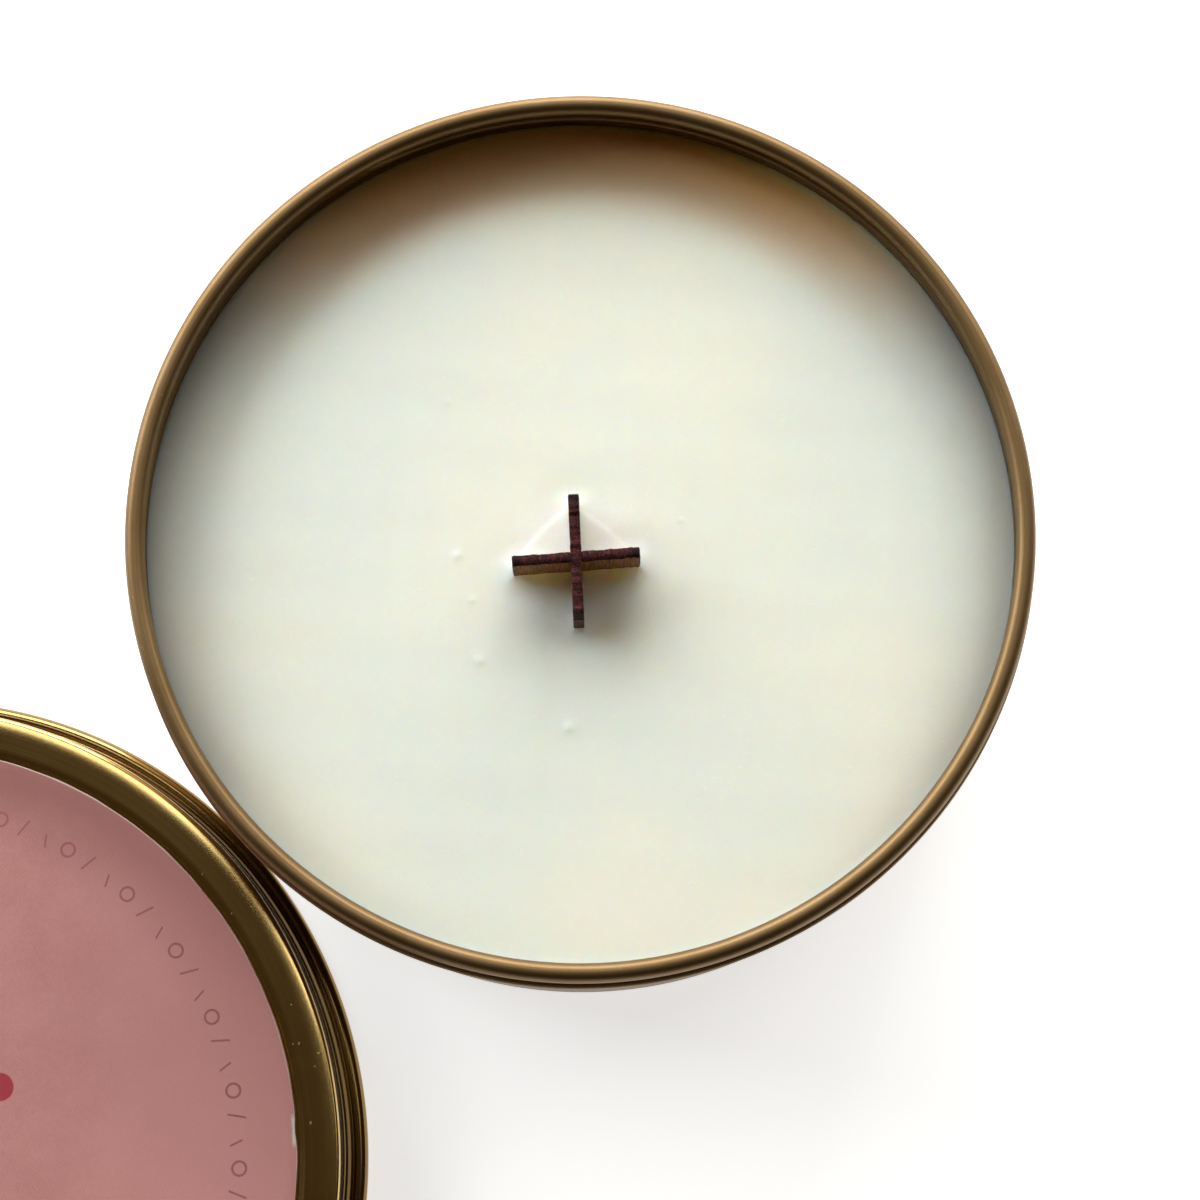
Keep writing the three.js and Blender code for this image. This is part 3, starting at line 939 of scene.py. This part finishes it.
def paper_finish():
    """Pink printed paper: fibres, a fine screen, two sets of marks and a worn white edge. The
    screen is a product of two sines of the place, across two directions."""
    material, place = new_finish("label_paper", tuple(lid_centre),
                                 IOR=1.45, Specular_IOR_Level=0.25)
    radius, angle = polar(place)[:2]
    x, y = place.parts()[:2]
    wobble = place.noise(0.9, 2.0, 0.5)
    lines = ((x + y * 0.35 + wobble * 0.5) * (2 * math.pi / FINE_SCREEN)).math("SINE")
    screen = lines * ((y - x * 0.3) * (2 * math.pi / WIDE_SCREEN)).math("SINE")
    fibre = place.noise(2.4, 5.0, 0.7)
    cloud = place.noise(0.16, 3.0, 0.55)
    ink = (cloud * 0.6 + fibre * 0.4).step(0.3, 0.7)
    colour = ink.tint((0.47, 0.192, 0.186), (0.56, 0.253, 0.242))
    # Painted light: the label is a little paler towards the right.
    colour = (x.step(8.0, 36.0) * 0.9).tint(colour, (0.72, 0.32, 0.31))
    speckle = place.noise(4.6, 1.0, 0.6)
    colour = (screen * 0.07 + speckle * 0.16).tint(colour, (0.72, 0.45, 0.42))
    # Painted shade: the label is darker along its far edge.
    painted_edge_shade = radius.step(28.0, LABEL_RADIUS) * abs(angle * 360 - EDGE_SHADE_TURN).step(75, 5)
    colour = (painted_edge_shade * 0.65).tint(colour, (0.22, 0.085, 0.075))
    printed = ring_marks(radius, angle) * (0.55 + fibre * 0.5)
    colour = printed.tint(colour, (0.33, 0.1, 0.11))
    colour = dot_marks(radius, angle).tint(colour, (0.38, 0.045, 0.06))
    turn_away = abs(angle * 360 - CHIP_TURN)
    rim = (radius + (fibre - 0.5) * 0.5).step(LABEL_RADIUS - 0.45, LABEL_RADIUS - 0.3)
    chip = rim * (turn_away + (fibre - 0.5) * 2.0).step(2.6, 1.4)
    cut_edge = radius.step(LABEL_RADIUS - 0.12, LABEL_RADIUS - 0.04) * 0.5
    colour = chip.math("MAXIMUM", cut_edge).tint(colour, (0.82, 0.76, 0.72))
    roughness = 0.72 + (fibre - 0.5) * 0.25
    bump = fibre * 0.7 + screen * 0.15 + cloud * 0.2
    feed(material, Base_Color=colour, Roughness=roughness, Normal=relief(bump, 0.02))
    return material


dress(label_disc, paper_finish(), "lid", "label_paper", "lid_label")

# %% [markdown]
# ## The hidden pieces
#
# The foam liner shows only from under the lid. The stamped clip that holds the blades and
# the adhesive dot under it are inside the wax, and keep their CAD shapes: they need only
# their own finishes.

# %% Foam, zinc and adhesive
def foam_finish(name, centre, colour, cell):
    """Closed cells from a cell texture, with a soft mottle."""
    material, place = new_finish(name, centre, IOR=1.4, Specular_IOR_Level=0.2,
                                 Subsurface_Weight=0.1, Subsurface_Scale=0.001)
    cells = place.node("ShaderNodeTexVoronoi", {}, {"Vector": place, "Scale": cell})
    mottle = place.noise(0.4, 3.0, 0.5)
    dark = tuple(0.82 * c for c in colour)
    shade = (cells * 0.6 + mottle * 0.4).step(0.2, 0.8).tint(colour, dark)
    feed(material, Base_Color=shade, Roughness=0.75 + mottle * 0.2,
         Normal=relief(cells, 0.08))
    return material


def zinc_finish():
    """Bright plating with a crystal spangle and drawn lines."""
    material, place = new_finish("zinc_plate", tuple(wick_centre), Metallic=1.0)
    spangle = place.node("ShaderNodeTexVoronoi", {}, {"Vector": place, "Scale": 1.3})
    lines = place.vector("MULTIPLY", (0.6, 12.0, 12.0)).noise(1.0, 2.0, 0.5)
    tone = (spangle * 0.5 + lines * 0.5).step(0.2, 0.8)
    colour = tone.tint((0.5, 0.51, 0.52), (0.72, 0.73, 0.74))
    feed(material, Base_Color=colour, Roughness=0.28 + lines * 0.2, Normal=relief(lines, 0.01))
    return material


dress(liner_disc, foam_finish("liner_foam", tuple(lid_centre), (0.84, 0.84, 0.8), 2.2),
      "lid_pad", "liner_foam", "lid_liner")
hidden = {
    "wick_clip": zinc_finish(),
    "wick_sticker": foam_finish("adhesive_dot", tuple(wick_centre), (0.86, 0.84, 0.76), 3.0),
}
for node, material in hidden.items():
    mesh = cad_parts[node].data
    mesh.materials.clear()
    mesh.materials.append(material)
print("hidden pieces finished:", sorted(hidden))

# %% [markdown]
# ## Table, light and camera
#
# The table is a plain white sheet that gives off some light of its own, as a lit product
# table does, so that it stays white in the shade. Three soft windows stand on the far side,
# rather low, so the far wall of the tin shades the wax beside it and every bead carries a
# highlight. A faint strip hangs higher up. A small card, almost overhead, is seen only in
# reflections and draws the bright band on the brow of the lid. The room is dim and warm,
# which keeps the metal dark between its highlights. The camera looks down from the near side
# with a long lens.

# %% Table
TABLE_HALF, TABLE_GAP = 1500.0, 0.02


def table():
    """A flat square sheet, just under the tin, with a faint paper tooth."""
    square = np.array([(-1, -1), (1, -1), (1, 1), (-1, 1)])
    points = np.column_stack([square * TABLE_HALF, np.full(4, -TABLE_GAP)])
    piece = make_mesh("table_top", points, np.array([[0, 1, 2, 3]]))
    material, place = new_finish("pale_table", Roughness=0.9, Specular_IOR_Level=0.1,
                                 Emission_Color=(1.0, 1.0, 1.0, 1.0), Emission_Strength=0.7)
    tooth = place.noise(0.8, 3.0, 0.6)
    feed(material, Base_Color=tooth.tint((0.93, 0.93, 0.93), (0.96, 0.96, 0.96)),
         Normal=relief(tooth, 0.01))
    piece.data.materials.append(material)


table()


# %% Light
LIGHT_DISTANCE = 0.9


def window(name, turn, rise, size, power, colour, slide=0.0):
    """An area light that faces the tin, at a turn from +X and a rise above the table, then
    slid along its own long side. Its sizes are in metres and its power in watts."""
    light = bpy.data.lights.new(name, "AREA")
    light.shape, light.size, light.size_y = "RECTANGLE", size[0], size[1]
    light.energy, light.color = power, colour
    lamp = bpy.data.objects.new(name, light)
    a, e = math.radians(turn), math.radians(rise)
    lamp.location = (
        LIGHT_DISTANCE * math.cos(a) * math.cos(e) - slide * math.sin(a),
        LIGHT_DISTANCE * math.sin(a) * math.cos(e) + slide * math.cos(a),
        LIGHT_DISTANCE * math.sin(e),
    )
    lamp.rotation_euler = (math.pi / 2 - e, 0, a + math.pi / 2)
    bpy.context.scene.collection.objects.link(lamp)
    return lamp


window("far_window", 98, 26, (0.95, 0.46), 11.0, (1.0, 1.0, 0.97))
window("left_window", 148, 26, (0.6, 0.46), 6.2, (0.96, 1.0, 0.99))
window("right_window", 50, 26, (0.65, 0.46), 3.2, (1.0, 0.99, 0.92))
window("ceiling_strip", 60, 70, (1.1, 0.16), 0.5, (1.0, 0.95, 0.85))
card = window("ceiling_card", 56, 78, (0.54, 0.12), 0.56, (1.0, 1.0, 0.95), slide=0.19)
card.visible_diffuse = False

world = bpy.data.worlds.new("dim_room")
bpy.context.scene.world = world
world.use_nodes = True
room = world.node_tree.nodes["Background"]
room.inputs["Color"].default_value = (1.0, 0.64, 0.3, 1)
room.inputs["Strength"].default_value = 0.045
bpy.context.scene.view_settings.view_transform = "Standard"

# %% Camera
LENS, SENSOR = 78.0, 36.0
VIEW_TILT, VIEW_DISTANCE = 11.54, 215.0
AIM = (1.65, -6.6)
camera = bpy.data.objects.new("camera", bpy.data.cameras.new("camera"))
camera.data.lens, camera.data.sensor_width = LENS, SENSOR
camera.data.clip_start = 0.01
tilt = math.radians(VIEW_TILT)
camera.location = (
    AIM[0] * MM,
    (AIM[1] - VIEW_DISTANCE * math.sin(tilt)) * MM,
    (rim_height + VIEW_DISTANCE * math.cos(tilt)) * MM,
)
camera.rotation_euler = (tilt, 0, 0)
bpy.context.scene.collection.objects.link(camera)
bpy.context.scene.camera = camera
print("camera at", [round(c, 4) for c in camera.location])
